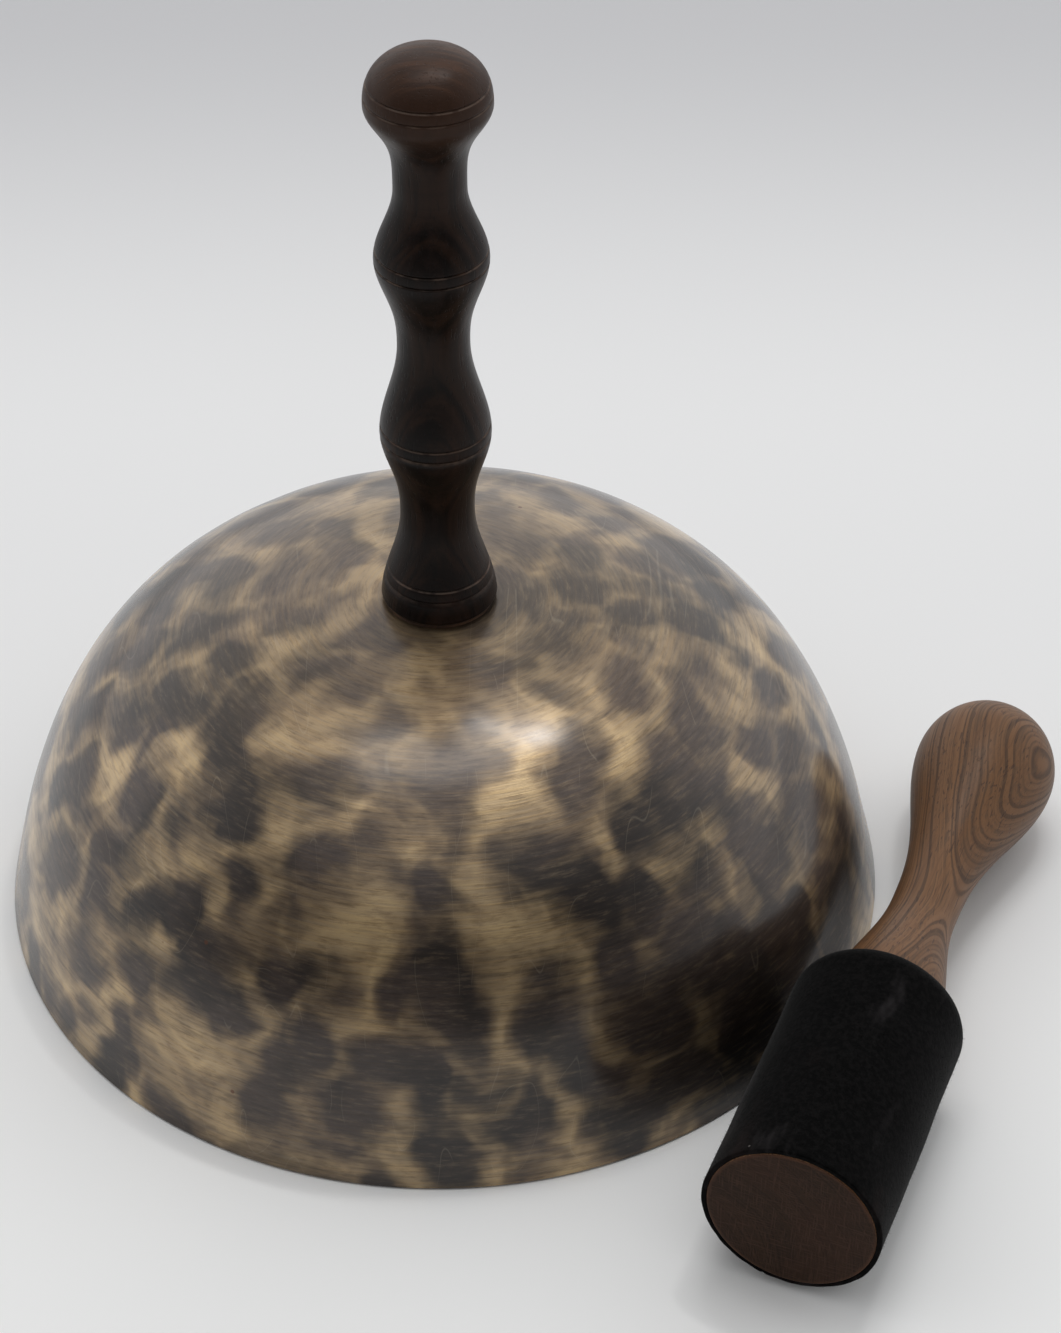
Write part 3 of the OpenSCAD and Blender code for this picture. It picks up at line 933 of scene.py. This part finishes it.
# %% The tree of fibres
def fuzz_tree(finish):
    tree, given, out = new_tree("Suede fibres", [
        ("Fibres Per Area", "NodeSocketFloat", 500000.0),
        ("Fibre Length", "NodeSocketFloat", 0.0007),
        ("Fibre Radius", "NodeSocketFloat", 0.00004),
        ("Lean", "NodeSocketFloat", 0.8),
        ("Lowest", "NodeSocketFloat", 0.004),
        ("Seed", "NodeSocketInt", 5),
    ])
    place = tree.nodes.new("GeometryNodeInputPosition").outputs[0]
    level = axes(tree, place)["Z"]
    high = add(tree, "FunctionNodeCompare", {0: level, 1: given["Lowest"]},
               data_type="FLOAT", operation="GREATER_THAN").outputs[0]
    points = add(tree, "GeometryNodeDistributePointsOnFaces",
                 {"Mesh": given["Geometry"], "Selection": high,
                  "Density": given["Fibres Per Area"], "Seed": given["Seed"]})
    spike = add(tree, "GeometryNodeMeshCone",
                {"Vertices": 3, "Radius Top": 0.0, "Radius Bottom": given["Fibre Radius"],
                 "Depth": given["Fibre Length"]}, fill_type="NONE")
    lean = add(tree, "FunctionNodeRandomValue", {"Seed": given["Seed"]},
               data_type="FLOAT_VECTOR")
    lean.inputs[0].default_value = (-1, -1, -1)
    lean.inputs[1].default_value = (1, 1, 1)
    aside = add(tree, "ShaderNodeVectorMath", {0: lean.outputs[0], "Scale": given["Lean"]},
                operation="SCALE").outputs[0]
    way = add(tree, "ShaderNodeVectorMath", {0: points.outputs["Normal"], 1: aside},
              operation="ADD").outputs[0]
    turn = add(tree, "FunctionNodeAlignRotationToVector", {"Vector": way}, axis="Z")
    size = add(tree, "FunctionNodeRandomValue", {2: 0.4, 3: 1.0, "Seed": given["Seed"]},
               data_type="FLOAT")
    placed = add(tree, "GeometryNodeInstanceOnPoints",
                 {"Points": points.outputs["Points"], "Instance": spike.outputs["Mesh"],
                  "Rotation": turn.outputs[0], "Scale": size.outputs[1]})
    real = add(tree, "GeometryNodeRealizeInstances", {0: placed.outputs[0]})
    dressed = add(tree, "GeometryNodeSetMaterial", {0: real.outputs[0], "Material": finish})
    tree.links.new(dressed.outputs[0], out["Geometry"])
    return tree


outer = [tuple(f.vertices) for f in sleeve.data.polygons
         if (to_lathe @ f.center).xy.length > CORE_R + 0.4*SUEDE
         and (to_lathe @ f.center)[2] < STRAIGHT + SHOULDER]
nap_skin = bpy.data.meshes.new("suede_fibres")
nap_skin.from_pydata([v.co for v in sleeve.data.vertices], [], outer)
fibres = placed("suede_fibres", nap_skin)
fibres = grow(fibres, fuzz_tree(suede), fibres_per_area=450000.0, fibre_length=0.0008,
              fibre_radius=0.00004, lean=0.8, lowest=0.004, seed=5)
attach(fibres, "mallet")
print("fibres", len(fibres.data.polygons), "faces")

# %% [markdown]
# ## The fixing inside
# Seen from below, the crown shows a hide pad, a steel washer, a split spring washer, a
# nut and the end of the stud. Pad, washers and nut come from the frame and only need a
# finish. The stud gets a real thread: its radius follows a saw-tooth that climbs one
# pitch in each turn, so the grid of the lathe becomes a screw.

# %% Thread on the stud
PITCH = 1.25*MM
STUD_R = (stud_high[0] - stud_low[0])/2
THREAD_DEEP = 0.6*MM
POINT_DEEP = 0.7*MM
POINT_LEN = 1.2*MM


def threaded(name, low, high, segments=48, rows_per_pitch=8):
    """A closed threaded rod along Z."""
    rows = round((high - low)/PITCH*rows_per_pitch)
    outline = [(0, low)] + [(STUD_R, low + (high - low)*i/rows) for i in range(rows + 1)]
    rod = turned(name, outline + [(0, high)], segments)
    for vertex in rod.data.vertices:
        x, y, height = vertex.co
        if math.hypot(x, y) < STUD_R/2:
            continue
        angle = math.atan2(y, x)
        tooth = abs(((height/PITCH - angle/(2*math.pi)) % 1)*2 - 1)
        end = min(height - low, high - height)/POINT_LEN
        radius = STUD_R - THREAD_DEEP*(1 - tooth) - POINT_DEEP*max(0, 1 - end)
        vertex.co = (radius*math.cos(angle), radius*math.sin(angle), height)
    return rod


stud = threaded("stud_threaded", stud_low[2], stud_high[2])
print("stud", len(stud.data.polygons), "faces")

# %% [markdown]
# ## Steel and hide
# The hardware is zinc plated: pale, fairly smooth, with a faint crystalline mottling and
# duller smears where it was handled. The pads are thick vegetable-tanned hide with a
# pebbled grain and blotches of darker and paler tan.

# %% Steel and hide
def steel_finish():
    finish, tree, shader = new_finish("zinc_steel")
    place = object_place(tree)
    spangle = add(tree, "ShaderNodeTexVoronoi", {"Vector": place, "Scale": 900.0})
    smear = cloud(tree, place, 160.0, 4.0, 0.65)
    scratch = cloud(tree, stretched(tree, place, (3000, 260, 900)), 1.0, 2.0)
    tint = mix(tree, soft_step(tree, spangle.outputs["Distance"], 0.1, 0.7),
               linear(176, 179, 183), linear(198, 200, 203))
    colour = mix(tree, soft_step(tree, smear, 0.45, 0.7, 0.0, 0.6), tint,
                 linear(140, 136, 130))
    fill(tree, shader, {"Base Color": colour, "Metallic": 1.0,
                        "Roughness": soft_step(tree, smear, 0.3, 0.75, 0.26, 0.48)})
    bumped(tree, shader, scratch, 0.00003, 0.5)
    return finish


def hide_finish():
    finish, tree, shader = new_finish("tanned_hide")
    place = object_place(tree)
    pebble = add(tree, "ShaderNodeTexVoronoi", {"Vector": place, "Scale": 1300.0},
                 feature="SMOOTH_F1").outputs["Distance"]
    blotch = cloud(tree, place, 120.0, 3.0)
    colour = mix(tree, soft_step(tree, blotch, 0.35, 0.7), linear(66, 46, 34),
                 linear(104, 74, 52))
    colour = mix(tree, soft_step(tree, pebble, 0.3, 0.7, 0.0, 0.5), colour,
                 linear(44, 30, 22))
    fill(tree, shader, {"Base Color": colour, "Roughness": 0.68})
    bumped(tree, shader, pebble, 0.0002, -0.5)
    return finish


steel = steel_finish()
hide = hide_finish()
stud.data.materials.append(steel)
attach(stud, "bell")
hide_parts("stud")
for names, finish in ((("steel_washer", "lock_washer", "hex_nut"), steel),
                      (("foot_pad", "inner_pad"), hide)):
    for name in names:
        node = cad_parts[name]
        node.data.materials.clear()
        node.data.materials.append(finish)
print("finished", len(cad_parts), "nodes")

# %% [markdown]
# ## Table and light
# The bell stands on a pale, matt board, wide enough to fill the view from any side. Its
# tone falls off a little at the back, as a lit table's does. A long thin light hangs
# behind the bell and draws the bright band on its shoulder, and a broad dim one above
# lays a veil under it. The room itself is bright behind and above and dim in front.

# %% Table
TABLE_HALF = 12.0
TABLE_TOP = -0.1*MM


def table():
    corners = [(-TABLE_HALF, -TABLE_HALF), (TABLE_HALF, -TABLE_HALF),
               (TABLE_HALF, TABLE_HALF), (-TABLE_HALF, TABLE_HALF)]
    mesh = bpy.data.meshes.new("table")
    mesh.from_pydata([(x, y, TABLE_TOP) for x, y in corners], [], [(0, 1, 2, 3)])
    finish, tree, shader = new_finish("pale_board")
    place = object_place(tree)
    tone = cloud(tree, place, 3.0, 2.0)
    colour = mix(tree, soft_step(tree, tone, 0.3, 0.7), linear(242, 242, 241),
                 linear(247, 247, 246))
    back = axes(tree, place)["Y"]
    colour = mix(tree, soft_step(tree, back, -0.15, 0.15), colour, linear(234, 234, 234))
    colour = mix(tree, soft_step(tree, back, 0.20, 0.54), colour, linear(196, 196, 198))
    fill(tree, shader, {"Base Color": colour, "Roughness": 0.7})
    bumped(tree, shader, cloud(tree, place, 900.0, 2.0), 0.0001, 0.1)
    mesh.materials.append(finish)
    board = placed("table", mesh)


table()
print("table at", TABLE_TOP)

# %% Lights
def soft_light(name, place, target, size, power):
    """A rectangular light that faces its target."""
    data = bpy.data.lights.new(name, "AREA")
    data.shape = "RECTANGLE"
    data.size, data.size_y = size
    data.energy = power
    light = placed(name, data)
    light.location = place
    away = Vector(place) - Vector(target)
    light.rotation_euler = away.to_track_quat("Z", "Y").to_euler()


def toward(azimuth, elevation, distance):
    """A place seen from the bell at a compass azimuth from +Y and an elevation."""
    a, e = math.radians(azimuth), math.radians(elevation)
    return (distance*math.sin(a)*math.cos(e), distance*math.cos(a)*math.cos(e),
            distance*math.sin(e) + 0.1)


soft_light("overhead", toward(-12, 80, 1.9), (0, 0, 0.05), (0.9, 0.6), 4.8)
soft_light("strip", toward(22, 69, 1.9), (0, 0, 0.1), (0.62, 0.08), 3.0)
soft_light("lamp", toward(44, 68, 1.9), (0, 0, 0.1), (0.2, 0.07), 2.2)


def room():
    """Even light from above and behind, and a dimmer room in front. What the camera sees
    past the table has a least brightness, so the surroundings stay pale from any side."""
    world = bpy.data.worlds.new("room")
    world.use_nodes = True
    tree = world.node_tree
    way = add(tree, "ShaderNodeTexCoord").outputs["Generated"]
    parts = axes(tree, way)
    behind = soft_step(tree, parts["Y"], -0.75, 0.35, 0.12, 1.12)
    behind = maths(tree, "MULTIPLY", behind, soft_step(tree, parts["Z"], 0.5, 0.85, 1.0, 0.6))
    above = soft_step(tree, parts["Z"], 0.45, 0.95, 0.0, 0.72)
    light = maths(tree, "MAXIMUM", behind, above)
    seen = add(tree, "ShaderNodeLightPath").outputs["Is Camera Ray"]
    light = maths(tree, "MAXIMUM", light, maths(tree, "MULTIPLY", seen, 0.62))
    fill(tree, tree.nodes["Background"],
         {"Color": (0.985, 0.99, 1.0, 1), "Strength": light})
    return world


bpy.context.scene.world = room()
bpy.context.scene.view_settings.view_transform = "Standard"
